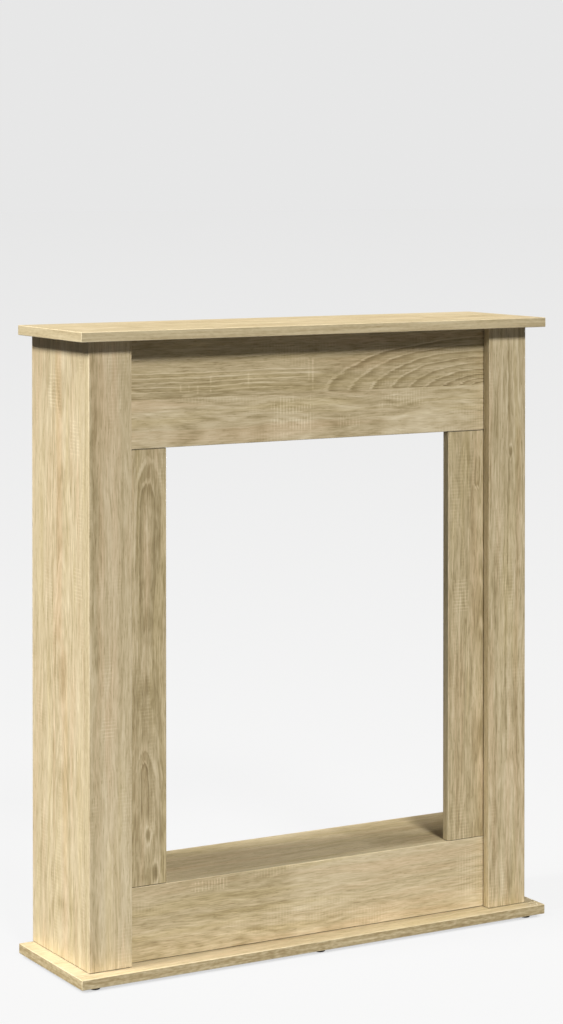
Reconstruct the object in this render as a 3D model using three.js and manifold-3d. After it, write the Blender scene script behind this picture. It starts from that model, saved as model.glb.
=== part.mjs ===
// A free-standing fireplace surround of foil-faced board: a base board on plastic glides, two
// towers, a header and a bottom rail round an open firebox, a hearth shelf and a top shelf.
// Millimetres, +Z up, front towards -Y. Origin on the floor, under the middle of the base board.
import * as THREE from 'three';
import { mergeVertices } from 'three/addons/utils/BufferGeometryUtils.js';
import Module from 'manifold-3d';

// ---- Driving dimensions ----

const width = 820;            // top shelf and base board, left to right
const depth = 220;            // top shelf and base board, front to back
const height = 960;           // floor to the top of the shelf
const board = 15;             // thickness of every board
const overhang = 23;          // shelf and base stand proud of the towers, at the sides and the front
const pilasterWidth = 70;
const stileReveal = 66;       // face of each stile that shows between pilaster and firebox
const shadowGap = 2;          // the pilaster's back to the face of the frame behind it
const headerHeight = 163;
const railHeight = 112;
const hearthInset = 10;       // the hearth shelf stops this far short of the back
const footHeight = 5;
const footRadius = 8;
const footFromSide = 28;      // base board's side edge to the middle of the outer feet
const footFromFront = 15;     // base board's long edges to the middle of every foot

const seam = 0.3;             // gap between pieces that meet, and round fittings in their holes

// Fittings: 15 mm cams with 24 mm bolts, 8 mm dowels and push-in glides.
const cam = { radius: 7.2, depth: 12, fromJoint: 24, slotLength: 9, slotWidth: 1.6, slotDepth: 2.4 };
const bolt = { threadRadius: 2.5, threadLength: 11, shankRadius: 3.5, neckRadius: 1.8, neckLength: 6,
  headRadius: 3, headLength: 3.5 };
const boltBoreRadius = 4;     // hole in the edge of a board that a bolt's shank passes through
const boltInset = 37;         // a board's end to the nearest bolt
const dowel = { radius: 4, intoFace: 10, intoEdge: 20, chamfer: 1 };
const dowelAboveRail = 25;    // lowest pilaster dowel, above the rail's top
const glidePeg = { radius: 2.5, length: 9 };
const footChamfer = 1.2;
const roundSides = 10;        // sides of each round fitting and hole

// ---- Planes that the pieces share ----

const baseTop = footHeight + board;
const shelfBottom = height - board;
const railTop = baseTop + railHeight;
const headerBottom = shelfBottom - headerHeight;
const back = depth / 2;
const pilasterFront = -back + overhang;
const pilasterBack = pilasterFront + board;
const frameFront = pilasterBack + shadowGap;
const frameBack = frameFront + board;
const towerSide = width / 2 - overhang;
const towerInside = towerSide - board;
const pilasterInside = towerSide - pilasterWidth;
const openingSide = pilasterInside - stileReveal;
const boardMiddle = board / 2;

const wasm = await Module();
wasm.setup();

// ---- Materials ----

const oak = new THREE.MeshStandardMaterial({ color: 0xc9b48f, roughness: 0.55, metalness: 0 });
const zinc = new THREE.MeshStandardMaterial({ color: 0x9fa1a3, roughness: 0.45, metalness: 0.9 });
const steel = new THREE.MeshStandardMaterial({ color: 0xb9b7b0, roughness: 0.35, metalness: 1 });
const beech = new THREE.MeshStandardMaterial({ color: 0xd8b98a, roughness: 0.7, metalness: 0 });
const plastic = new THREE.MeshStandardMaterial({ color: 0x2b2522, roughness: 0.5, metalness: 0 });

// ---- Solids ----

function toSolid(geometry) {
  const bare = geometry.clone();
  bare.deleteAttribute('normal');
  bare.deleteAttribute('uv');
  const merged = mergeVertices(bare);
  const triVerts = new Uint32Array(merged.index.array);
  return new wasm.Manifold(new wasm.Mesh({
    numProp: 3,
    vertProperties: merged.attributes.position.array,
    triVerts,
  }));
}

function toGeometry(solid) {
  const mesh = solid.getMesh();
  const geometry = new THREE.BufferGeometry();
  geometry.setAttribute('position', new THREE.BufferAttribute(mesh.vertProperties, 3));
  geometry.setIndex(new THREE.BufferAttribute(mesh.triVerts, 1));
  return geometry;
}

function cutFrom(geometry, cutters) {
  const cut = cutters.reduce((solid, cutter) => solid.subtract(toSolid(cutter)), toSolid(geometry));
  return toGeometry(cut);
}

// A box between two corners, [x, y, z] each.
function boxBetween(low, high) {
  const size = high.map((value, axis) => value - low[axis]);
  const middle = high.map((value, axis) => (value + low[axis]) / 2);
  return new THREE.BoxGeometry(...size).translate(...middle);
}

// A cylinder along Z between two heights.
function rod(radius, low, high) {
  return new THREE.CylinderGeometry(radius, radius, high - low, roundSides)
    .rotateX(Math.PI / 2)
    .translate(0, 0, (low + high) / 2);
}

// A solid turned about Z from [radius, height] points, listed upwards.
function turned(profile) {
  const points = profile.map(([radius, level]) => new THREE.Vector2(radius, level));
  return new THREE.LatheGeometry(points, roundSides).rotateX(Math.PI / 2);
}

// ---- The assembly ----

const mantel = new THREE.Group();
const boards = {};

function addMesh(name, geometry, material, placing = new THREE.Matrix4()) {
  const mesh = new THREE.Mesh(geometry, material);
  mesh.name = name;
  mesh.applyMatrix4(placing);
  mantel.add(mesh);
}

// A board waits, with its holes, until every fitting that goes into it is known.
function addBoard(name, low, high) {
  boards[name] = { shape: boxBetween(low, high), holes: [] };
}

function drill(boardName, hole, placing) {
  boards[boardName].holes.push(hole.clone().applyMatrix4(placing));
}

// A fitting's own frame: its origin where its axis crosses the joint, +Z the way it points, and +X
// towards the face that its cam is drilled from.
function facing(origin, pointing, side) {
  const x = new THREE.Vector3(...side);
  const z = new THREE.Vector3(...pointing);
  const y = new THREE.Vector3().crossVectors(z, x);
  return new THREE.Matrix4().makeBasis(x, y, z).setPosition(...origin);
}

// ---- Boards ----

const ends = { left: -1, right: 1 };
const footprint = [width / 2, back];

addBoard('base_board', [-footprint[0], -footprint[1], footHeight], [...footprint, baseTop]);
addBoard('top_shelf', [-footprint[0], -footprint[1], shelfBottom], [...footprint, height]);

const frameEnd = towerInside - seam;
addBoard('bottom_rail', [-frameEnd, frameFront, baseTop + seam], [frameEnd, frameBack, railTop]);
addBoard('header_panel', [-frameEnd, frameFront, headerBottom],
  [frameEnd, frameBack, shelfBottom - seam]);
addBoard('hearth_shelf', [-frameEnd, frameBack + seam, railTop - board],
  [frameEnd, back - hearthInset, railTop]);

// A box that spans near to far from the middle, on the left or the right.
function addTowerBoard(name, end, [near, far], [front, rear], [low, high]) {
  const [left, right] = [end * near, end * far].sort((a, b) => a - b);
  addBoard(name, [left, front, low], [right, rear, high]);
}

for (const [label, end] of Object.entries(ends)) {
  const upright = [baseTop + seam, shelfBottom - seam];
  addTowerBoard(`side_panel_${label}`, end, [towerInside, towerSide], [pilasterBack + seam, back],
    upright);
  addTowerBoard(`pilaster_${label}`, end, [pilasterInside, towerSide], [pilasterFront, pilasterBack],
    upright);
  addTowerBoard(`stile_${label}`, end, [openingSide, frameEnd], [frameFront, frameBack],
    [railTop + seam, headerBottom - seam]);
}

// ---- Cam joints ----

// The bolt's thread goes into the far board's face. Its head sits in a cam in the near board.
const headEnd = -cam.fromJoint - bolt.headLength / 2;
const neckStart = headEnd + bolt.headLength;
const boltShape = turned([
  [0, headEnd],
  [bolt.headRadius, headEnd],
  [bolt.headRadius, neckStart],
  [bolt.neckRadius, neckStart],
  [bolt.neckRadius, neckStart + bolt.neckLength],
  [bolt.shankRadius, neckStart + bolt.neckLength],
  [bolt.shankRadius, -seam],
  [bolt.threadRadius, -seam],
  [bolt.threadRadius, bolt.threadLength],
  [0, bolt.threadLength],
]);

// A cylinder across the bolt, from the near board's face inwards.
function acrossBolt(radius, depthIn, proud) {
  return rod(radius, boardMiddle - depthIn, boardMiddle + proud)
    .rotateY(Math.PI / 2)
    .translate(0, 0, -cam.fromJoint);
}

// The cam is a drum with a pocket for the bolt's head and a cross slot for the screwdriver.
const slotFloor = boardMiddle - cam.slotDepth;
const halfLength = cam.slotLength / 2;
const halfWidth = cam.slotWidth / 2;
const camShape = cutFrom(acrossBolt(cam.radius, cam.depth, 0), [
  rod(bolt.headRadius + seam, headEnd - seam, 0),
  boxBetween([slotFloor, -halfLength, -cam.fromJoint - halfWidth],
    [board, halfLength, -cam.fromJoint + halfWidth]),
  boxBetween([slotFloor, -halfWidth, -cam.fromJoint - halfLength],
    [board, halfWidth, -cam.fromJoint + halfLength]),
]);

const camHole = acrossBolt(cam.radius + seam, cam.depth + seam, board);
const boltBore = rod(boltBoreRadius, -cam.fromJoint, board);
const threadHole = rod(bolt.threadRadius + seam, -board, bolt.threadLength + seam);

function addCamJoint(name, nearBoard, farBoard, placing) {
  addMesh(`cam_${name}`, camShape, zinc, placing);
  addMesh(`bolt_${name}`, boltShape, steel, placing);
  drill(nearBoard, camHole, placing);
  drill(nearBoard, boltBore, placing);
  drill(farBoard, threadHole, placing);
}

const rows = { front: pilasterBack + boltInset, back: back - boltInset };
const panelMiddle = towerSide - boardMiddle;
const frameMiddle = frameFront + boardMiddle;
const headerBolts = { low: headerBottom + boltInset, high: shelfBottom - boltInset };
const railBolt = (baseTop + railTop - board) / 2;
const hearthBolt = (rows.front + rows.back) / 2;

for (const [label, end] of Object.entries(ends)) {
  const panel = `side_panel_${label}`;
  const inwards = [-end, 0, 0];
  const outwards = [end, 0, 0];
  for (const [row, y] of Object.entries(rows)) {
    addCamJoint(`shelf_${label}_${row}`, panel, 'top_shelf',
      facing([end * panelMiddle, y, shelfBottom], [0, 0, 1], inwards));
    addCamJoint(`base_${label}_${row}`, panel, 'base_board',
      facing([end * panelMiddle, y, baseTop], [0, 0, -1], inwards));
  }
  for (const [row, z] of Object.entries(headerBolts)) {
    addCamJoint(`header_${label}_${row}`, 'header_panel', panel,
      facing([end * towerInside, frameMiddle, z], outwards, [0, 1, 0]));
  }
  addCamJoint(`rail_${label}`, 'bottom_rail', panel,
    facing([end * towerInside, frameMiddle, railBolt], outwards, [0, 1, 0]));
  addCamJoint(`hearth_${label}`, 'hearth_shelf', panel,
    facing([end * towerInside, hearthBolt, railTop - boardMiddle], outwards, [0, 0, -1]));
}

// ---- Dowels ----

function dowelShape(low, high) {
  return turned([
    [0, low],
    [dowel.radius - dowel.chamfer, low],
    [dowel.radius, low + dowel.chamfer],
    [dowel.radius, high - dowel.chamfer],
    [dowel.radius - dowel.chamfer, high],
    [0, high],
  ]);
}

// A dowel runs from its near board, below the joint, into its far board.
function addDowel(name, nearBoard, farBoard, intoNear, intoFar, placing) {
  addMesh(`dowel_${name}`, dowelShape(-intoNear, intoFar), beech, placing);
  const hole = rod(dowel.radius + seam, -intoNear - seam, intoFar + seam);
  drill(nearBoard, hole, placing);
  drill(farBoard, hole, placing);
}

const pilasterDowels = {
  low: railTop + dowelAboveRail,
  middle: (railTop + headerBottom) / 2,
  high: (headerBottom + shelfBottom) / 2,
};
const stileMiddle = (openingSide + frameEnd) / 2;
const halfDowel = (dowel.intoFace + dowel.intoEdge) / 2;

for (const [label, end] of Object.entries(ends)) {
  for (const [row, z] of Object.entries(pilasterDowels)) {
    addDowel(`pilaster_${label}_${row}`, `pilaster_${label}`, `side_panel_${label}`,
      dowel.intoFace, dowel.intoEdge,
      facing([end * panelMiddle, pilasterBack, z], [0, 1, 0], [1, 0, 0]));
  }
  addDowel(`stile_${label}_low`, 'bottom_rail', `stile_${label}`, halfDowel, halfDowel,
    facing([end * stileMiddle, frameMiddle, railTop], [0, 0, 1], [1, 0, 0]));
  addDowel(`stile_${label}_high`, `stile_${label}`, 'header_panel', halfDowel, halfDowel,
    facing([end * stileMiddle, frameMiddle, headerBottom], [0, 0, 1], [1, 0, 0]));
}

// ---- Glides ----

// A moulded disc with a peg that is pushed up into the base board.
const glideShape = turned([
  [0, 0],
  [footRadius - footChamfer, 0],
  [footRadius, footChamfer],
  [footRadius, footHeight - seam],
  [glidePeg.radius, footHeight - seam],
  [glidePeg.radius, footHeight + glidePeg.length],
  [0, footHeight + glidePeg.length],
]);
const pegHole = rod(glidePeg.radius + seam, 0, footHeight + glidePeg.length + seam);
const footColumns = { left: -width / 2 + footFromSide, middle: 0, right: width / 2 - footFromSide };
const footRows = { front: -back + footFromFront, back: back - footFromFront };

for (const [row, y] of Object.entries(footRows)) {
  for (const [column, x] of Object.entries(footColumns)) {
    const placing = new THREE.Matrix4().setPosition(x, y, 0);
    addMesh(`foot_${row}_${column}`, glideShape, plastic, placing);
    drill('base_board', pegHole, placing);
  }
}

// ---- Boards, drilled ----

for (const [name, { shape, holes }] of Object.entries(boards)) {
  addMesh(name, cutFrom(shape, holes), oak);
}

export default mantel;
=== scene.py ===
import math

import bmesh
import bpy
from mathutils import Matrix, Vector


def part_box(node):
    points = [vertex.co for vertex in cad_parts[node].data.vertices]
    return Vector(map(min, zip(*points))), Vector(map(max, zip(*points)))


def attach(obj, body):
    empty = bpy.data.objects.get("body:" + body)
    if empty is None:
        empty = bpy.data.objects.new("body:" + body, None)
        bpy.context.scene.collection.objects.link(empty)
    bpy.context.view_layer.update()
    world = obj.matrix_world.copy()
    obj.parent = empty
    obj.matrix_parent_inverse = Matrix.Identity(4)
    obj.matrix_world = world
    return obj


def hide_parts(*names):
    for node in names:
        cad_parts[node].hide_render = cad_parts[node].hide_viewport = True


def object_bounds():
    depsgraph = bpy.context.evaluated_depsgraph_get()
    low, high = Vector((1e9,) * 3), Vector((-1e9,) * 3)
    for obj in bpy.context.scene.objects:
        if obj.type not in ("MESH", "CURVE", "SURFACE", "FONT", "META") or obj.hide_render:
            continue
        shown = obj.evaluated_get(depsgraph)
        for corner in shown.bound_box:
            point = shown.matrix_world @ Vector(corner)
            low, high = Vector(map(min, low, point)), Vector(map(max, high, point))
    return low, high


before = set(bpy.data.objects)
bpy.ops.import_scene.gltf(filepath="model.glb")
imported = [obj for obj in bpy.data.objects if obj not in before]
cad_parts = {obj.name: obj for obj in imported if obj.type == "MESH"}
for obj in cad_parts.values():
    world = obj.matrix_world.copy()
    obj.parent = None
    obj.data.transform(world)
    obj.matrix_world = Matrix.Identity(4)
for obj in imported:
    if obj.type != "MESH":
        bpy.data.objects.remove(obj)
cad_box = [list(corner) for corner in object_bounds()]
low = Vector(cad_box[0])
scene = bpy.context.scene
scene.view_settings.view_transform = "Standard"


# ---- Camera ----
# A long lens at chest height, to the front left of the surround. It looks down by a degree, which
# keeps the uprights all but upright, and is shifted down to take in the whole piece.

camera_data = bpy.data.cameras.new("camera")
camera_data.lens = 94.34
camera_data.shift_y = -0.2815
camera_data.clip_end = 200.0
camera = bpy.data.objects.new("camera", camera_data)
camera.location = (-2.0924, -3.6031, 1.1841)
camera.rotation_euler = (math.radians(89), 0, math.radians(-29.99))
scene.collection.objects.link(camera)
scene.camera = camera


# ---- Studio ----
# A pale floor that runs out of sight under an even pale room, and four soft lamps: a key level
# with the front and to its left, a front lamp above, a low one behind and to the right for the
# sides that those two miss, and a low one in front for what a floor throws back.

ROOM_TONE = 0.80
NEAR_TONE = 0.967
ROOM_LIGHT = 0.065
FLOOR_LIGHT = 0.07
FLOOR_SHADE = 0.04
FLOOR_SIZE = 160.0
HALF_WAY = 5.0         # how far out the floor's tone is half way to the room's
MATT_GLARE = 0.04      # what the floor's matt share adds to its tone
CONTACT_REACH = 0.014  # how far from the base board the floor is darkened


class Wire:
    """A value that runs through a material's nodes. Arithmetic on it adds Math nodes."""

    def __init__(self, tree, socket=None):
        self.tree = tree
        self.socket = socket

    def node(self, kind, settings, inputs, output=0):
        """A new node's output. Its settings are set first. Inputs go by name or by number."""
        node = self.tree.nodes.new(kind)
        for key, value in settings.items():
            if key != "stops":
                setattr(node, key, value)
            else:
                for place, _ in value[2:]:
                    node.color_ramp.elements.new(place)
                for element, (place, tint) in zip(node.color_ramp.elements, value):
                    element.position = place
                    element.color = tint
        for key, value in inputs.items():
            socket = node.inputs[key]
            if isinstance(key, str):
                socket = next(s for s in node.inputs if s.enabled and s.name == key)
            if isinstance(value, Wire):
                self.tree.links.new(value.socket, socket)
            else:
                socket.default_value = value
        if isinstance(output, str):
            return Wire(self.tree, next(s for s in node.outputs if s.enabled and s.name == output))
        return Wire(self.tree, node.outputs[output]) if len(node.outputs) else None

    def math(self, operation, *others):
        return self.node("ShaderNodeMath", {"operation": operation},
                         dict(enumerate((self, *others))))

    def __add__(self, other):
        return self.math("ADD", other)

    def __radd__(self, other):
        return self.math("ADD", other)

    def __sub__(self, other):
        return self.math("SUBTRACT", other)

    def __rsub__(self, other):
        return self.node("ShaderNodeMath", {"operation": "SUBTRACT"}, {0: other, 1: self})

    def __mul__(self, other):
        return self.math("MULTIPLY", other)

    def __rmul__(self, other):
        return self.math("MULTIPLY", other)

    def __gt__(self, other):
        return self.math("GREATER_THAN", other)

    def ramp(self, start, end):
        """0 at start, 1 at end, and a smooth rise between them."""
        return self.node("ShaderNodeMapRange", {"interpolation_type": "SMOOTHSTEP"},
                         {"Value": self, "From Min": start, "From Max": end})


def start_nodes(owner):
    owner.use_nodes = True
    owner.node_tree.nodes.clear()
    return Wire(owner.node_tree)


# Only what the camera sees of the room and the floor is as bright as a white studio. What lights
# the surround is dimmer, so that the shadows under the shelf stay deep.
room = bpy.data.worlds.new("room")
scene.world = room
nodes = start_nodes(room)
seen = nodes.node("ShaderNodeLightPath", {}, {}, "Is Camera Ray")
background = nodes.node("ShaderNodeBackground", {},
                        {"Color": seen * (ROOM_TONE - ROOM_LIGHT) + ROOM_LIGHT})
nodes.node("ShaderNodeOutputWorld", {}, {"Surface": background})

# The floor's tone falls off with the distance, to the room's own at the horizon, and a shadow is
# painted into it where the base board stands close over it.
floor_mesh = bmesh.new()
bmesh.ops.create_grid(floor_mesh, x_segments=1, y_segments=1, size=FLOOR_SIZE / 2,
                      matrix=Matrix.Translation((0, 0, low.z)))
floor_data = bpy.data.meshes.new("floor")
floor_mesh.to_mesh(floor_data)
floor_mesh.free()
floor = bpy.data.objects.new("floor", floor_data)
scene.collection.objects.link(floor)
floor_paint = bpy.data.materials.new("floor_paint")
nodes = start_nodes(floor_paint)
seen = nodes.node("ShaderNodeLightPath", {}, {}, "Is Camera Ray")
place = nodes.node("ShaderNodeTexCoord", {}, {}, "Object")
distance = nodes.node("ShaderNodeVectorMath", {"operation": "LENGTH"}, {0: place}, "Value")
nearness = (distance + HALF_WAY).math("DIVIDE", HALF_WAY).math("POWER", -1.0)
tone = nearness * (NEAR_TONE - ROOM_TONE) + (ROOM_TONE - MATT_GLARE)
openness = nodes.node("ShaderNodeAmbientOcclusion", {"samples": 8},
                      {"Distance": CONTACT_REACH}, "AO")
tone = tone * openness.ramp(-0.5, 0.42)
glow = nodes.node("ShaderNodeEmission", {}, {"Color": seen * (tone - FLOOR_LIGHT) + FLOOR_LIGHT})
matt = nodes.node("ShaderNodeBsdfDiffuse", {}, {"Color": (0.85, 0.85, 0.85, 1.0)})
surface = nodes.node("ShaderNodeMixShader", {}, {0: FLOOR_SHADE, 1: glow, 2: matt})
nodes.node("ShaderNodeOutputMaterial", {}, {"Surface": surface})
floor_data.materials.append(floor_paint)


def add_sun(name, azimuth, height, strength, softness, colour):
    """Azimuth counts from the front towards the right; angles are in degrees."""
    data = bpy.data.lights.new(name, "SUN")
    data.energy = strength
    data.angle = math.radians(softness)
    data.color = colour
    lamp = bpy.data.objects.new(name, data)
    lamp.rotation_euler = (math.radians(90 - height), 0, math.radians(azimuth))
    scene.collection.objects.link(lamp)


add_sun("key_left", -93, 44, 4.85, 14, (1.0, 0.985, 0.96))
add_sun("front_lamp", -9, 40, 2.85, 11, (1.0, 0.99, 0.97))
add_sun("back_lamp", 130, 2, 2.0, 8, (1.0, 0.99, 0.98))

fill_data = bpy.data.lights.new("floor_fill", "AREA")
fill_data.shape = "RECTANGLE"
fill_data.size = 1.6
fill_data.size_y = 0.3
fill_data.energy = 2.6
fill = bpy.data.objects.new("floor_fill", fill_data)
fill.location = (-0.1, low.y - 0.80, low.z + 0.04)
fill.rotation_euler = (math.radians(100), 0, 0)
fill.visible_camera = False
scene.collection.objects.link(fill)


# ---- Side panels ----
# The deep outer boards of the towers, with their grain upright. Like every board here they are
# 15 mm particle board with a printed oak foil on both faces and thin bands ironed on their edges.

ARRIS = 0.0010
ARRIS_STEPS = 3
HOLE_SIDES = 40
SEAM = 0.0003
COMB_PITCH = 0.0054
BACK_SHIFT = 0.23      # how far the print on the back face is moved along from the front's
EDGE_SHIFT = 1.7
FLAT = 0.999           # a face whose normal is this close to an axis is not part of an arris
OVERLAP = 0.0005       # how far into a board a hole reaches before it is cut
REACH = 0.0012         # how near two boards are where they count as meeting
AXES = {"x": 0, "y": 1, "z": 2}


def colour(red, green, blue):
    """A screen colour, 0 to 255, as the linear light that shaders work in."""
    def linear(value):
        value /= 255
        return value / 12.92 if value <= 0.04045 else ((value + 0.055) / 1.055) ** 2.4
    return (linear(red), linear(green), linear(blue), 1.0)


def finish_with(nodes, base, roughness, relief, relief_depth, metallic=0.0):
    """A Principled surface with a varying colour, roughness and relief."""
    normal = nodes.node("ShaderNodeBump", {}, {"Distance": relief_depth, "Height": relief})
    shader = nodes.node("ShaderNodeBsdfPrincipled", {},
                        {"Base Color": base, "Roughness": roughness, "Normal": normal,
                         "Metallic": metallic, "IOR": 1.46})
    nodes.node("ShaderNodeOutputMaterial", {}, {"Surface": shader})


def foil_point(nodes):
    """How far along the grain and across it a point of the foil lies, in metres."""
    place = nodes.node("ShaderNodeUVMap", {"uv_map": "foil"}, {})
    along = nodes.node("ShaderNodeSeparateXYZ", {}, {0: place}, "X")
    across = nodes.node("ShaderNodeSeparateXYZ", {}, {0: place}, "Y")
    return along, across


def noise(along, across, layer, detail=1.0):
    """Noise from 0 to 1 at a point that is already scaled. Layer keeps patterns apart."""
    point = along.node("ShaderNodeCombineXYZ", {}, {"X": along, "Y": across, "Z": layer})
    return along.node("ShaderNodeTexNoise", {}, {"Vector": point, "Scale": 1.0, "Detail": detail})


def arris_highlight(nodes):
    """1 on an arris that meets no other board, where a highlight is painted, and 0 elsewhere."""
    return nodes.node("ShaderNodeAttribute", {"attribute_name": "arris"}, {}, "Fac").ramp(0.2, 0.8)


def paint_joint_shade(nodes, base):
    """Darkens the arris that meets another board: shade painted into the joint."""
    joint = nodes.node("ShaderNodeAttribute", {"attribute_name": "arris"}, {}, "Fac")
    joint = joint.ramp(-0.2, -0.8)
    return nodes.node("ShaderNodeVectorMath", {"operation": "SCALE"},
                      {"Vector": base, "Scale": 1 - joint * 0.65})


def oval(along, across, middle, size):
    """0 at the middle, 1 on an ellipse with these half sizes."""
    out = (along - middle[0]) * (1 / size[0])
    up = (across - middle[1]) * (1 / size[1])
    return (out * out + up * up).math("SQRT")


def oak_foil(name, seed, heart, depth=0.03, lean=0.03, staves=(), arches=(), knots=(), stripes=(),
             combs=(), scores=(), tone=0.0, figure_strength=1.0):
    """Printed oak. Growth rings are those of a log whose heart runs under the line `heart`, `depth`
    below the face. Places are (along the grain, across it).
    staves: a line and the change of tone beyond it.
    arches: foot, signed reach, half width, number of rings, how even their spacing is (1 is even),
    length of the legs as a share of the reach, and the line across which the figure ends.
    knots: middle and half sizes.
    stripes: line, half width, start, end, change of tone and peach tinge of a streak.
    combs: middle, half sizes and strength of a row of saw marks.
    scores: place, half height and strength of one saw mark."""
    material = bpy.data.materials.new(name)
    nodes = start_nodes(material)
    along, across = foil_point(nodes)

    layer = seed
    shade = tone + 0.55
    for line, change in staves:
        beyond = across > line
        layer = beyond * 7.3 + layer
        shade = beyond * change + shade
        shade = shade - (across - line).math("ABSOLUTE").ramp(0.0016, 0.0004) * 0.10

    # Each fibre slips along the grain a little, which feathers the figure.
    wander = noise(along * 3.4, across * 9.0, layer, detail=3.0) - 0.5
    quiver = noise(along * 26.0, across * 70.0, layer + 1.0, detail=2.0) - 0.5
    slip = noise(along * 12.0, across * 600.0, layer + 2.0) - 0.5
    slid = along + slip * 0.016 + quiver * 0.014
    wavy = across + wander * 0.011 + quiver * 0.0030

    # Growth rings
    off_heart = wavy - heart
    ring = (off_heart * off_heart + depth * depth).math("SQRT") + slid * lean + wander * 0.02
    bands = noise(ring * 210.0, along * 8.0, layer + 11.0, detail=2.0) - 0.5
    fine_bands = noise(ring * 560.0, along * 26.0, layer + 17.0, detail=1.0) - 0.5
    strength = off_heart.math("ABSOLUTE").ramp(0.11, 0.02) * 0.6 + 0.4

    figure = 0.0
    for foot, reach, half_width, rings, evenness, legs, ends_at in arches:
        out = (slid - foot[0]) * (1 / reach)
        ahead = out.math("MAXIMUM", 0.0)
        side = (wavy - foot[1]) * (1 / half_width)
        spread = (ahead * ahead + side * side).math("SQRT")
        inside = spread.ramp(1.04, 0.97) * out.ramp(-legs, -0.4 * legs) * (across > ends_at)
        turn = (spread.math("POWER", evenness) * rings + wander * 1.5).math("FRACT")
        pale = turn.ramp(0.78, 0.88)
        dusk = turn.ramp(0.30, 0.78)
        boldness = (quiver * 2.0 + wander * 1.2 + 0.9).math("MAXIMUM", 0.1)
        figure = inside * (pale * 0.32 - dusk * 0.20 - 0.03) * boldness + figure
        strength = strength * (1 - inside * 0.6)

    # Fibres, pores, broad blotches and streaks
    fibres = noise(along * 34.0, wavy * 640.0, layer + 23.0, detail=2.0) - 0.5
    pores = noise(along * 85.0, across * 620.0, layer + 29.0).ramp(0.58, 0.76)
    blotches = noise(along * 3.5, across * 18.0, layer + 31.0, detail=3.0) - 0.5
    streaks = noise(along * 4.0, wavy * 80.0, layer + 37.0, detail=3.0) - 0.5
    dapple = noise(along * 60.0, wavy * 240.0, layer + 39.0, detail=2.0) - 0.5

    # Pale lines that a saw left across the grain
    comb_phase = (along * (2 * math.pi / COMB_PITCH)
                  + noise(along * 45.0, across * 4.0, layer + 41.0) * 7.0)
    teeth = comb_phase.math("SINE").ramp(0.0, 0.95)
    tooth_end = noise(along * 230.0, across * 2.0, layer + 43.0) - 0.5
    worn = noise(along * 30.0, across * 120.0, layer + 45.0, detail=2.0).ramp(0.25, 0.6)
    sawn = noise(along * 6.0, across * 24.0, layer + 47.0, detail=2.0).ramp(0.53, 0.72) * 0.30
    for middle, size, comb_strength in combs:
        in_length = (along - middle[0]).math("ABSOLUTE").ramp(size[0], size[0] * 0.7)
        height = (across - middle[1]).math("ABSOLUTE") + tooth_end * (size[1] * 1.3)
        sawn = sawn.math("MAXIMUM", in_length * height.ramp(size[1], size[1] * 0.6) * comb_strength)
    marks = teeth * sawn
    for place, half_height, score_strength in scores:
        in_length = (along - place[0]).math("ABSOLUTE").ramp(0.0024, 0.0004)
        height = (across - place[1]).math("ABSOLUTE").ramp(half_height, half_height * 0.7)
        marks = marks.math("MAXIMUM", in_length * height * score_strength)
    marks = marks * worn

    hue = noise(along * 3.0, wavy * 48.0, layer + 53.0, detail=2.0)
    peach = hue.ramp(0.5, 0.72) * 0.7
    for line, half_width, start, end, change, tinge in stripes:
        near = (wavy + wander * 0.01 - line).math("ABSOLUTE").ramp(half_width, half_width * 0.2)
        near = near * along.ramp(start, start + 0.03) * along.ramp(end, end - 0.03)
        shade = near * change + shade
        peach = near * tinge + peach
    for middle, size in knots:
        spread = oval(slid, wavy, middle, size)
        shade = shade - spread.ramp(1.0, 0.35) * 0.26
        figure = figure + spread.ramp(1.5, 1.1) * spread.ramp(0.8, 1.1) * 0.14

    # The arrises that meet no other board are made paler: a painted highlight.
    shade = (shade + figure
             + bands * strength * (0.62 * figure_strength)
             + fine_bands * strength * (0.46 * figure_strength)
             + fibres * 0.50
             + blotches * 0.22
             + streaks * 0.22
             + dapple * 0.22
             - pores * 0.13
             + marks * 0.26
             + arris_highlight(nodes) * 0.10)
    print_tone = nodes.node("ShaderNodeValToRGB", {"stops": (
        (0.00, colour(120, 103, 70)),
        (0.32, colour(163, 146, 108)),
        (0.55, colour(197, 180, 144)),
        (0.78, colour(218, 203, 170)),
        (1.00, colour(236, 224, 194)),
    )}, {"Fac": shade})
    pink = nodes.node("ShaderNodeMix", {"data_type": "RGBA", "blend_type": "MULTIPLY"},
                      {"Factor": peach, "A": print_tone, "B": (1.0, 0.93, 0.90, 1.0)}, "Result")
    golden = nodes.node("ShaderNodeMix", {"data_type": "RGBA", "blend_type": "MULTIPLY"},
                        {"Factor": hue.ramp(0.5, 0.3) * 0.7, "A": pink,
                         "B": (1.0, 0.99, 0.90, 1.0)}, "Result")
    # Shade is painted into the arrises that meet another board.
    base = paint_joint_shade(nodes, golden)
    roughness = 0.50 + pores * 0.18 + fibres * 0.12 - marks * 0.05
    relief = fibres * 0.35 + bands * 0.3 - pores
    finish_with(nodes, base, roughness, relief, 0.00006)
    return material


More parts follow.
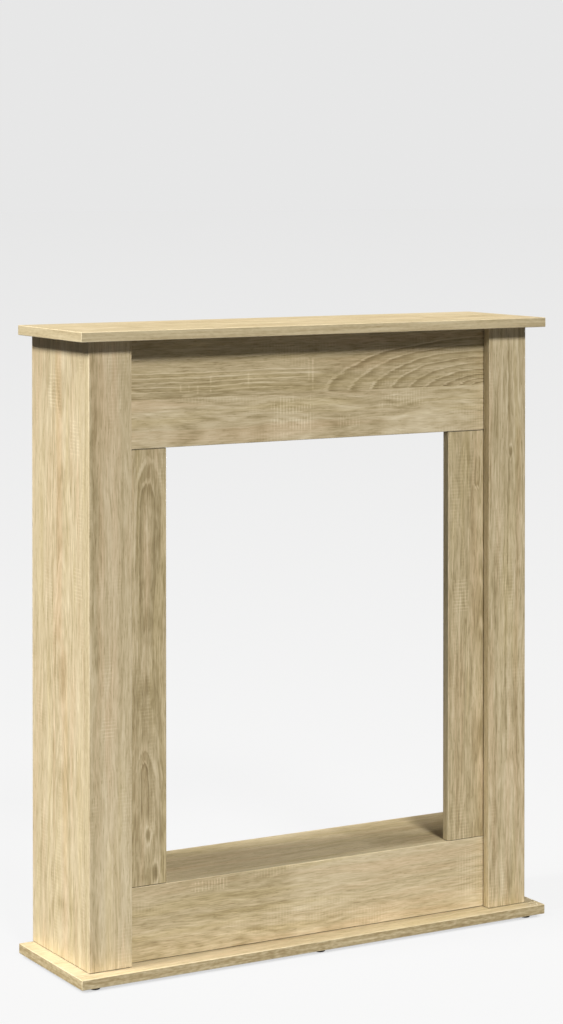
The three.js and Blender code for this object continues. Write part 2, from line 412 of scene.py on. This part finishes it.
def oak_band(name, seed, mottling, tone=0.0):
    """The edge band's print runs along the edge and is mottled rather than figured."""
    material = bpy.data.materials.new(name)
    nodes = start_nodes(material)
    along, across = foil_point(nodes)
    streaks = noise(along * 6.0, across * 200.0, seed, detail=3.0) - 0.5
    fibres = noise(along * 18.0, across * 1000.0, seed + 5.0, detail=2.0) - 0.5
    pores = noise(along * 80.0, across * 1400.0, seed + 9.0).ramp(0.6, 0.74)
    mottle = noise(along * 90.0, across * 300.0, seed + 13.0, detail=3.0) - 0.5
    # The arrises that meet no other board are made paler: a painted highlight.
    shade = (tone + 0.58 + streaks * 0.5 + fibres * 0.3 - pores * 0.12
             + mottle * mottling + arris_highlight(nodes) * 0.16)
    base = nodes.node("ShaderNodeValToRGB", {"stops": (
        (0.00, colour(120, 100, 66)),
        (0.35, colour(166, 147, 108)),
        (0.60, colour(203, 187, 150)),
        (1.00, colour(234, 222, 190)),
    )}, {"Fac": shade})
    # Shade is painted into the arrises that meet another board.
    finish_with(nodes, paint_joint_shade(nodes, base), pores * 0.15 + 0.46,
                fibres * 0.4 - pores, 0.00005)
    return material


raw_chips = bpy.data.materials.new("raw_chips")
nodes = start_nodes(raw_chips)
place = nodes.node("ShaderNodeTexCoord", {}, {}, "Object")
flakes = nodes.node("ShaderNodeTexVoronoi", {}, {"Vector": place, "Scale": 700.0}, "Color")
flake_tone = nodes.node("ShaderNodeSeparateColor", {}, {"Color": flakes}, "Red")
chip_colour = nodes.node("ShaderNodeValToRGB", {"stops": (
    (0.0, colour(128, 92, 56)),
    (1.0, colour(206, 172, 124)),
)}, {"Fac": flake_tone})
finish_with(nodes, chip_colour, flake_tone * 0.1 + 0.85, flake_tone, 0.0002)


def new_piece(name, mesh, *materials):
    data = bpy.data.meshes.new(name)
    mesh.to_mesh(data)
    mesh.free()
    for material in materials:
        data.materials.append(material)
    piece = bpy.data.objects.new(name, data)
    scene.collection.objects.link(piece)
    return piece


def cut(piece, tool, lining):
    """Cuts the tool's shape out of the piece and lines the hole with the given material."""
    cutter = new_piece("cutter", tool, lining)
    hole = piece.modifiers.new("hole", "BOOLEAN")
    hole.operation = "DIFFERENCE"
    hole.solver = "EXACT"
    hole.material_mode = "TRANSFER"
    hole.object = cutter
    bpy.context.view_layer.update()
    shape = piece.evaluated_get(bpy.context.evaluated_depsgraph_get())
    holed = bpy.data.meshes.new_from_object(shape)
    piece.modifiers.clear()
    piece.data = holed
    bpy.data.objects.remove(cutter)


def rod(start, end, radius, sides=HOLE_SIDES):
    """A round bar between two points."""
    bar = bmesh.new()
    run = Vector(end) - Vector(start)
    turn = Vector((0, 0, 1)).rotation_difference(run).to_matrix().to_4x4()
    middle = Matrix.Translation((Vector(start) + Vector(end)) / 2)
    bmesh.ops.create_cone(bar, cap_ends=True, segments=sides, radius1=radius, radius2=radius,
                          depth=run.length, matrix=middle @ turn)
    for face in bar.faces:
        face.smooth = len(face.verts) == 4
    return bar


def middle_of(node):
    node_low, node_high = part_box(node)
    return (node_low + node_high) / 2


def size_of(node):
    node_low, node_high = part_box(node)
    return node_high - node_low


def cam_frame(name):
    """A cam joint's own axes: the origin at the bolt head's middle, +Z along the bolt towards its
    thread, and +X out of the face that the cam is set in."""
    cam, bolt = "cam_" + name, "bolt_" + name
    drum = min(range(3), key=lambda axis: size_of(cam)[axis])
    run = max(range(3), key=lambda axis: size_of(bolt)[axis])
    offset = middle_of(bolt) - middle_of(cam)
    x, z = Vector(), Vector()
    x[drum] = -math.copysign(1, offset[drum])
    z[run] = math.copysign(1, offset[run])
    origin = middle_of(cam)
    origin[drum] = middle_of(bolt)[drum]
    axes = Matrix((x, z.cross(x), z)).transposed().to_4x4()
    return Matrix.Translation(origin) @ axes


CAM_FACE = 0.0075      # the bolt's axis to the face that the cam is flush with
CAM_FLOOR = -0.0045
CAM_RADIUS = 0.0072
JOINT = 0.024          # the bolt head's middle to the face of the far board
BOLT_END = JOINT + 0.011
BOLT_BORE = 0.004
THREAD_RADIUS = 0.0025
PEG_RADIUS = 0.0025
DOWEL_RADIUS = 0.004
OVERRUN = 0.0002       # how far the bores at a joint run past it, so that they meet
names = sorted(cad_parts)
cam_joints = [name[4:] for name in names if name.startswith("cam_")]
dowels = [name for name in names if name.startswith("dowel_")]
feet = [name for name in names if name.startswith("foot_")]
board_boxes = {name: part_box(name) for name in names
               if not name.startswith(("cam_", "bolt_", "dowel_", "foot_"))}


def fitting_holes():
    """The start, end and radius of every hole that is drilled for a fitting."""
    for name in cam_joints:
        place = cam_frame(name)
        yield (place @ Vector((CAM_FLOOR - SEAM, 0, 0)), place @ Vector((CAM_FACE + 0.001, 0, 0)),
               CAM_RADIUS + SEAM)
        yield place @ Vector((0, 0, 0)), place @ Vector((0, 0, JOINT + OVERRUN)), BOLT_BORE
        yield (place @ Vector((0, 0, JOINT - OVERRUN)), place @ Vector((0, 0, BOLT_END + SEAM)),
               THREAD_RADIUS + SEAM)
    for name in dowels:
        run = max(range(3), key=lambda axis: size_of(name)[axis])
        half = Vector(float(axis == run) for axis in range(3)) * (size_of(name)[run] / 2 + SEAM)
        yield middle_of(name) - half, middle_of(name) + half, DOWEL_RADIUS + SEAM
    for name in feet:
        foot_low, foot_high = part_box(name)
        middle = middle_of(name)
        yield (Vector((middle.x, middle.y, foot_low.z)),
               Vector((middle.x, middle.y, foot_high.z + SEAM)), PEG_RADIUS + SEAM)


def meets(point, other):
    """Whether a point lies on or next to that board."""
    other_low, other_high = board_boxes[other]
    return all(other_low[axis] - REACH < point[axis] < other_high[axis] + REACH
               for axis in range(3))


def add_board(node, grain, shown, foil, band, tight_to=None):
    """A board in place of its CAD node, with its foil laid along the grain's axis. Shown is the
    side, -1 or 1 on its own axis, that the foil's marked figure is on. The arrises that lie on the
    board tight_to stay square, so that no line shows between the two."""
    board_low, board_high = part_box(node)
    size = board_high - board_low
    thickness = min(range(3), key=lambda axis: size[axis])
    length = AXES[grain]
    width = 3 - thickness - length
    mesh = bmesh.new()
    bmesh.ops.create_cube(mesh, size=1.0)
    bmesh.ops.scale(mesh, verts=mesh.verts, vec=size)
    bmesh.ops.translate(mesh, verts=mesh.verts, vec=(board_low + board_high) / 2)
    open_edges = [edge for edge in mesh.edges if not tight_to
                  or not meets((edge.verts[0].co + edge.verts[1].co) / 2, tight_to)]
    bmesh.ops.bevel(mesh, geom=open_edges, offset=ARRIS, segments=ARRIS_STEPS, profile=0.5,
                    affect="EDGES", material=-1, clamp_overlap=True)
    others = [other for other in board_boxes if other != node]
    uv = mesh.loops.layers.uv.new("foil")
    arris = mesh.loops.layers.float.new("arris")
    for face in mesh.faces:
        face.smooth = max(abs(value) for value in face.normal) < FLAT
        facing = max(range(3), key=lambda axis: abs(face.normal[axis])
                     + 0.001 * (axis == thickness))
        if facing == thickness:
            run, sideways = length, width
            shift = 0.0 if face.normal[facing] * shown > 0 else BACK_SHIFT
        else:
            run, sideways = 3 - facing - thickness, thickness
            shift = EDGE_SHIFT + facing
            face.material_index = 1
        # Each arris is marked for painted light: 1 where it meets no other board and gets a painted
        # highlight, -1 where it meets another board and gets painted shade.
        wear_and_arris_light = 0.0
        if face.smooth:
            middle = face.calc_center_median()
            wear_and_arris_light = -1.0 if any(meets(middle, other) for other in others) else 1.0
        for corner in face.loops:
            corner[uv].uv = (corner.vert.co[run], corner.vert.co[sideways] + shift)
            corner[arris] = wear_and_arris_light
    piece = new_piece(node + "_board", mesh, foil, band, raw_chips)
    for start, end, radius in fitting_holes():
        if all(max(start[axis], end[axis]) > board_low[axis] + OVERLAP
               and min(start[axis], end[axis]) < board_high[axis] - OVERLAP for axis in range(3)):
            cut(piece, rod(start, end, radius), raw_chips)
    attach(piece, "root")
    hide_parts(node)
    return piece


plain_band = oak_band("oak_band", 61.0, mottling=0.35)
add_board("side_panel_left", "z", -1,
          oak_foil("oak_side_left", 3.1, heart=0.004, depth=0.05, lean=0.02,
                   staves=((0.036, 0.02),),
                   stripes=((0.014, 0.016, 0.48, 0.95, -0.02, 1.0),
                            (-0.005, 0.014, 0.0, 0.50, 0.0, 0.7),
                            (0.026, 0.006, 0.36, 0.52, -0.16, 0.0),
                            (0.034, 0.005, 0.22, 0.37, -0.12, 0.0),
                            (-0.050, 0.014, 0.0, 0.95, 0.04, 0.0)),
                   combs=(((0.865, 0.036), (0.030, 0.020), 0.5),
                          ((0.800, -0.040), (0.030, 0.020), 0.4),
                          ((0.585, -0.050), (0.030, 0.016), 0.4)), tone=0.04),
          plain_band, tight_to="pilaster_left")
add_board("side_panel_right", "z", 1,
          oak_foil("oak_side_right", 83.4, heart=0.01, depth=0.05, lean=0.02,
                   staves=((0.02, 0.02),)), plain_band, tight_to="pilaster_right")


# ---- Pilasters ----
# Narrow boards doweled to the side panels' front edges, grain upright. Their own edges are banded,
# and a 2 mm gap behind them shows as a dark line beside the frame.

add_board("pilaster_left", "z", -1,
          oak_foil("oak_pilaster_left", 12.7, heart=-0.384, depth=0.012, lean=0.004,
                   stripes=((-0.377, 0.008, 0.45, 0.97, -0.16, 0.0),
                            (-0.376, 0.007, 0.0, 0.50, -0.07, 0.0),
                            (-0.350, 0.018, 0.0, 0.97, 0.04, 0.2)),
                   combs=(((0.378, -0.355), (0.020, 0.014), 0.5),), tone=0.03, figure_strength=0.6),
          plain_band, tight_to="side_panel_left")
add_board("pilaster_right", "z", -1,
          oak_foil("oak_pilaster_right", 25.2, heart=0.358, depth=0.006, lean=0.006,
                   stripes=((0.354, 0.003, 0.25, 0.95, -0.16, 0.0),
                            (0.372, 0.006, 0.0, 0.8, -0.05, 0.5),
                            (0.350, 0.1, 0.60, 0.97, 0.04, 0.0)),
                   knots=(((0.747, 0.358), (0.010, 0.004)),), tone=-0.03), plain_band,
          tight_to="side_panel_right")


# ---- Stiles ----
# The uprights beside the firebox, set back behind the pilasters and cut from a board with a heart
# line: nested arches and a pair of small knots show on the left one.

add_board("stile_left", "z", -1,
          oak_foil("oak_stile_left", 33.9, heart=-0.283, depth=0.030, lean=0.03,
                   arches=(((0.715, -0.284), 0.056, 0.022, 1.0, 0.85, 3.0, -1.0),
                           ((0.700, -0.284), 0.040, 0.014, 1.0, 0.85, 6.0, -1.0),
                           ((0.300, -0.288), 0.034, 0.012, 1.6, 0.85, 3.0, -1.0)),
                   stripes=((-0.270, 0.016, 0.40, 0.72, -0.03, 0.0),
                            (-0.285, 0.005, 0.40, 0.47, -0.12, 0.0),
                            (-0.280, 0.2, 0.10, 0.45, -0.08, 0.0),
                            (-0.280, 0.2, 0.60, 0.80, 0.06, 0.0)),
                   knots=(((0.207, -0.283), (0.012, 0.005)), ((0.150, -0.270), (0.016, 0.006))),
                   tone=-0.07), plain_band)
add_board("stile_right", "z", -1,
          oak_foil("oak_stile_right", 45.5, heart=0.312, depth=0.008, lean=0.02,
                   arches=(((0.705, 0.307), -0.022, 0.008, 1.0, 0.85, 2.0, -1.0),),
                   combs=(((0.520, 0.275), (0.030, 0.016), 0.5),), tone=-0.06),
          plain_band)


# ---- Header ----
# The wide board over the firebox, between the towers, with its grain level. Its print joins two
# staves: the upper one has feathery arches, the lower one rows of saw marks.

STAVE_LINE = 0.8545
add_board("header_panel", "x", -1,
          oak_foil("oak_header", 51.3, heart=0.80, depth=0.05, lean=0.02,
                   staves=((STAVE_LINE, -0.10),),
                   arches=(((0.338, 0.850), -0.345, 0.086, 12.5, 0.60, 1.0, STAVE_LINE),),
                   stripes=((0.893, 0.0016, -0.33, 0.02, 0.20, 0.0),
                            (0.886, 0.0016, -0.33, 0.03, 0.22, 0.0),
                            (0.879, 0.0014, -0.30, 0.00, 0.22, 0.0),
                            (0.872, 0.0016, -0.33, -0.05, 0.24, 0.0),
                            (0.865, 0.0013, -0.33, -0.02, 0.18, 0.0),
                            (0.872, 0.022, -0.33, 0.10, -0.05, 0.0)),
                   combs=(((-0.035, 0.820), (0.043, 0.030), 0.75),
                          ((0.068, 0.808), (0.024, 0.011), 0.5),
                          ((0.162, 0.838), (0.047, 0.013), 0.55)),
                   scores=(((-0.227, 0.868), 0.007, 0.55), ((-0.213, 0.868), 0.006, 0.45),
                           ((-0.198, 0.866), 0.007, 0.5), ((-0.176, 0.874), 0.014, 0.7),
                           ((-0.111, 0.876), 0.014, 0.5), ((-0.005, 0.890), 0.019, 0.5),
                           ((0.002, 0.882), 0.028, 0.8)), tone=0.02), plain_band)


# ---- Bottom rail ----
# The board under the firebox, between the towers, with its grain level. It stands on the base
# board, and the hearth shelf butts against its back, level with its top.

add_board("bottom_rail", "x", -1,
          oak_foil("oak_rail", 67.8, heart=0.03, depth=0.05, lean=0.02, figure_strength=0.75,
                   combs=(((-0.178, 0.119), (0.034, 0.010), 0.8),
                          ((0.290, 0.076), (0.026, 0.038), 0.40)),
                   stripes=((0.076, 0.3, -0.05, 0.6, 0.09, 0.0),), tone=-0.06), plain_band,
          tight_to="hearth_shelf")


# ---- Hearth shelf ----
# The firebox floor, cam-locked between the towers behind the rail and level with its top.
# Its stripe darkens the right end, beside the right stile: painted shade.

add_board("hearth_shelf", "x", 1,
          oak_foil("oak_hearth", 71.6, heart=0.02, depth=0.06, lean=0.02,
                   stripes=((0.0, 0.3, 0.12, 0.6, -0.10, 0.0),), tone=-0.03,
                   figure_strength=0.4), plain_band, tight_to="bottom_rail")


# ---- Base board and top shelf ----
# Two boards of one size with their grain level. The towers stand on one and carry the other.
# The base board's stripe darkens the right part of its top: painted shade.

add_board("base_board", "x", 1,
          oak_foil("oak_base", 77.7, heart=-0.05, depth=0.05, lean=0.02,
                   stripes=((-0.05, 0.10, -0.08, 0.42, -0.05, 0.0),), tone=0.04,
                   figure_strength=0.5),
          oak_band("oak_base_band", 64.0, mottling=0.7, tone=-0.14))
add_board("top_shelf", "x", 1,
          oak_foil("oak_shelf", 91.1, heart=-0.02, depth=0.05, lean=0.02, tone=-0.03),
          oak_band("oak_shelf_band", 66.0, mottling=0.3, tone=-0.01))


# ---- Cams ----
# Die-cast zinc drums, pressed flush into the boards' inner faces. A screwdriver in the cross recess
# turns each one, and its pocket draws the bolt's head in.

zinc = bpy.data.materials.new("cast_zinc")
nodes = start_nodes(zinc)
place = nodes.node("ShaderNodeTexCoord", {}, {}, "Object")
grit = nodes.node("ShaderNodeTexNoise", {}, {"Vector": place, "Scale": 900.0, "Detail": 3.0})
tarnish = nodes.node("ShaderNodeTexNoise", {}, {"Vector": place, "Scale": 160.0, "Detail": 2.0})
zinc_colour = nodes.node("ShaderNodeValToRGB", {"stops": (
    (0.3, colour(128, 130, 134)),
    (0.7, colour(178, 179, 181)),
)}, {"Fac": tarnish})
finish_with(nodes, zinc_colour, grit * 0.25 + 0.32, grit, 0.00008, metallic=1.0)

# The rounding stays under half the slot's width, or its ends would cross each other.
RECESS = (0.0048, 0.009, 0.0016)
RECESS_ROUNDING = 0.0007
SHARP_FROM = 35

cam_mesh = rod((CAM_FLOOR, 0, 0), (CAM_FACE, 0, 0), CAM_RADIUS, sides=64)
rims = [edge for edge in cam_mesh.edges if abs(edge.verts[0].co.x - edge.verts[1].co.x) < 0.0001]
bmesh.ops.bevel(cam_mesh, geom=rims, offset=0.0005, segments=2, profile=0.5, affect="EDGES",
                material=-1)
cam_shape = new_piece("cam_shape", cam_mesh, zinc)
cut(cam_shape, rod((0, 0, -0.00205), (0, 0, 0.009), 0.0033), zinc)
for turn in (0, 90):
    slot = bmesh.new()
    bmesh.ops.create_cube(slot, size=1.0)
    bmesh.ops.scale(slot, verts=slot.verts, vec=RECESS)
    ends = [edge for edge in slot.edges if abs(edge.verts[0].co.z - edge.verts[1].co.z) < 0.0001
            and abs(edge.verts[0].co.y - edge.verts[1].co.y) < 0.0001]
    bmesh.ops.bevel(slot, geom=ends, offset=RECESS_ROUNDING, segments=3, profile=0.5,
                    affect="EDGES", material=-1)
    bmesh.ops.rotate(slot, verts=slot.verts, cent=(0, 0, 0),
                     matrix=Matrix.Rotation(math.radians(turn), 3, "X"))
    bmesh.ops.translate(slot, verts=slot.verts, vec=(CAM_FACE, 0, 0))
    cut(cam_shape, slot, zinc)
arrow = bmesh.new()
bmesh.ops.create_cone(arrow, cap_ends=True, segments=3, radius1=0.0011, radius2=0.0011,
                      depth=0.0008, matrix=Matrix.Rotation(math.radians(90), 4, "Y"))
bmesh.ops.translate(arrow, verts=arrow.verts, vec=(CAM_FACE, 0, 0.0056))
cut(cam_shape, arrow, zinc)


def place_copy(shape, name, place, node):
    """A copy of a finished shape, with its place in its mesh, in the stead of a CAD node."""
    data = shape.data.copy()
    data.transform(place)
    data.set_sharp_from_angle(angle=math.radians(SHARP_FROM))
    piece = bpy.data.objects.new(name, data)
    scene.collection.objects.link(piece)
    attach(piece, "root")
    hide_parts(node)


for name in cam_joints:
    place_copy(cam_shape, "cam_housing_" + name, cam_frame(name), "cam_" + name)
bpy.data.objects.remove(cam_shape)


# ---- Bolts ----
# Plated steel connecting bolts. The thread is screwed into one board, and the head on its thin neck
# sits in the other board's cam.

steel = bpy.data.materials.new("plated_steel")
nodes = start_nodes(steel)
place = nodes.node("ShaderNodeTexCoord", {}, {}, "Object")
scuffs = nodes.node("ShaderNodeTexNoise", {}, {"Vector": place, "Scale": 700.0, "Detail": 3.0})
sheen = nodes.node("ShaderNodeTexNoise", {}, {"Vector": place, "Scale": 120.0, "Detail": 2.0})
steel_colour = nodes.node("ShaderNodeValToRGB", {"stops": (
    (0.3, colour(166, 164, 152)),
    (0.7, colour(203, 203, 204)),
)}, {"Fac": sheen})
finish_with(nodes, steel_colour, scuffs * 0.2 + 0.22, scuffs, 0.00003, metallic=1.0)

THREAD_PITCH = 0.0018
THREAD_TURNS = 5
TURNED_SIDES = 48


def spun(name, profile, material):
    """A shape turned about Z from (radius, height) points that start and end on the axis."""
    mesh = bmesh.new()
    corners = [mesh.verts.new((radius, 0, level)) for radius, level in profile]
    sides_of_profile = [mesh.edges.new(pair) for pair in zip(corners, corners[1:])]
    bmesh.ops.spin(mesh, geom=corners + sides_of_profile, cent=(0, 0, 0), axis=(0, 0, 1),
                   angle=2 * math.pi, steps=TURNED_SIDES, use_merge=True)
    bmesh.ops.remove_doubles(mesh, verts=mesh.verts, dist=0.000001)
    bmesh.ops.recalc_face_normals(mesh, faces=mesh.faces)
    for face in mesh.faces:
        face.smooth = True
    return new_piece(name, mesh, material)


thread = []
for turn in range(THREAD_TURNS):
    start = JOINT + 0.0006 + turn * THREAD_PITCH
    thread += [(0.0019, start),
               (THREAD_RADIUS, start + 0.4 * THREAD_PITCH),
               (THREAD_RADIUS, start + 0.55 * THREAD_PITCH),
               (0.0019, start + 0.95 * THREAD_PITCH)]
bolt_shape = spun("bolt_shape", [
    (0, -0.00175), (0.0024, -0.00175), (0.0029, -0.0014), (0.0030, -0.0008), (0.0030, 0.0009),
    (0.0026, 0.00175), (0.0018, 0.00195), (0.0018, 0.00755), (0.0030, 0.00775), (0.0035, 0.0083),
    (0.0035, 0.0150), (0.0032, 0.0153), (0.0032, 0.0163), (0.0035, 0.0166),
    (0.0035, JOINT - 0.0008), (0.0031, JOINT - SEAM), (0.0019, JOINT - SEAM),
    *thread, (0.0017, BOLT_END - 0.0012), (0.0009, BOLT_END), (0, BOLT_END)], steel)
for name in cam_joints:
    place_copy(bolt_shape, "connecting_bolt_" + name, cam_frame(name), "bolt_" + name)
bpy.data.objects.remove(bolt_shape)


# ---- Dowels ----
# Beech dowels, 8 mm by 30 mm, with pressed flutes that let the glue out and chamfered ends.

beech = bpy.data.materials.new("beech")
nodes = start_nodes(beech)
place = nodes.node("ShaderNodeTexCoord", {}, {}, "Object")
flecks = nodes.node("ShaderNodeTexNoise", {}, {"Vector": place, "Scale": 900.0, "Detail": 2.0})
grain_tone = nodes.node("ShaderNodeTexNoise", {}, {"Vector": place, "Scale": 240.0, "Detail": 3.0})
beech_colour = nodes.node("ShaderNodeValToRGB", {"stops": (
    (0.25, colour(196, 158, 116)),
    (0.75, colour(226, 195, 154)),
)}, {"Fac": grain_tone * 0.7 + flecks * 0.3})
finish_with(nodes, beech_colour, flecks * 0.2 + 0.6, flecks, 0.00006)

DOWEL_HALF = 0.015
FLUTES = 20
FLUTE_DEPTH = 0.92
CHAMFER = 0.001

dowel_mesh = rod((0, 0, CHAMFER - DOWEL_HALF), (0, 0, DOWEL_HALF - CHAMFER), DOWEL_RADIUS,
                 sides=FLUTES * 3)
for vert in dowel_mesh.verts:
    spoke = round(math.atan2(vert.co.y, vert.co.x) / (2 * math.pi) * FLUTES * 3)
    if spoke % 3 == 0:
        vert.co.xy *= FLUTE_DEPTH
for side in (-1, 1):
    cap = [face for face in dowel_mesh.faces if face.normal.z * side > 0.9]
    grown = bmesh.ops.extrude_face_region(dowel_mesh, geom=cap)
    bmesh.ops.delete(dowel_mesh, geom=cap, context="FACES_ONLY")
    tip = [item for item in grown["geom"] if isinstance(item, bmesh.types.BMVert)]
    bmesh.ops.translate(dowel_mesh, verts=tip, vec=(0, 0, side * CHAMFER))
    bmesh.ops.scale(dowel_mesh, verts=tip, vec=(0.75, 0.75, 1.0))
bmesh.ops.recalc_face_normals(dowel_mesh, faces=dowel_mesh.faces)
dowel_shape = new_piece("dowel_shape", dowel_mesh, beech)
for name in dowels:
    run = max(range(3), key=lambda axis: size_of(name)[axis])
    axis = Vector(float(index == run) for index in range(3))
    turn = Vector((0, 0, 1)).rotation_difference(axis).to_matrix().to_4x4()
    place_copy(dowel_shape, "fluted_" + name, Matrix.Translation(middle_of(name)) @ turn, name)
bpy.data.objects.remove(dowel_shape)


# ---- Glides ----
# Moulded plastic discs under the base board, with a barbed peg that is tapped up into a blind hole.

plastic = bpy.data.materials.new("glide_plastic")
nodes = start_nodes(plastic)
place = nodes.node("ShaderNodeTexCoord", {}, {}, "Object")
pebble = nodes.node("ShaderNodeTexNoise", {}, {"Vector": place, "Scale": 1500.0, "Detail": 2.0})
wear_and_arris_light = nodes.node("ShaderNodeTexNoise", {}, {"Vector": place, "Scale": 90.0, "Detail": 3.0})
plastic_colour = nodes.node("ShaderNodeValToRGB", {"stops": (
    (0.3, colour(52, 46, 42)),
    (0.8, colour(78, 71, 65)),
)}, {"Fac": wear_and_arris_light})
finish_with(nodes, plastic_colour, wear_and_arris_light * 0.25 + 0.35, pebble, 0.00006)

foot_low, foot_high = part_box(feet[0])
disc_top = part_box("base_board")[0].z - SEAM
peg_top = foot_high.z
barbs = []
for level in (0.0065, 0.0085, 0.0105):
    barbs += [(0.0022, level), (0.00265, level), (0.0022, level + 0.0012)]
glide_shape = spun("glide_shape", [
    (0, 0.0), (0.0052, 0.0), (0.0062, 0.00012), (0.0071, 0.0005), (0.0077, 0.0011),
    (0.0080, 0.0019),
    (0.0080, 0.0040), (0.0077, disc_top - 0.0001), (0.0074, disc_top), (0.0022, disc_top), *barbs,
    (0.0022, peg_top - 0.0010), (0.0015, peg_top), (0, peg_top)], plastic)
for name in feet:
    middle = middle_of(name)
    place_copy(glide_shape, "glide_" + name[5:], Matrix.Translation((middle.x, middle.y, 0)), name)
bpy.data.objects.remove(glide_shape)
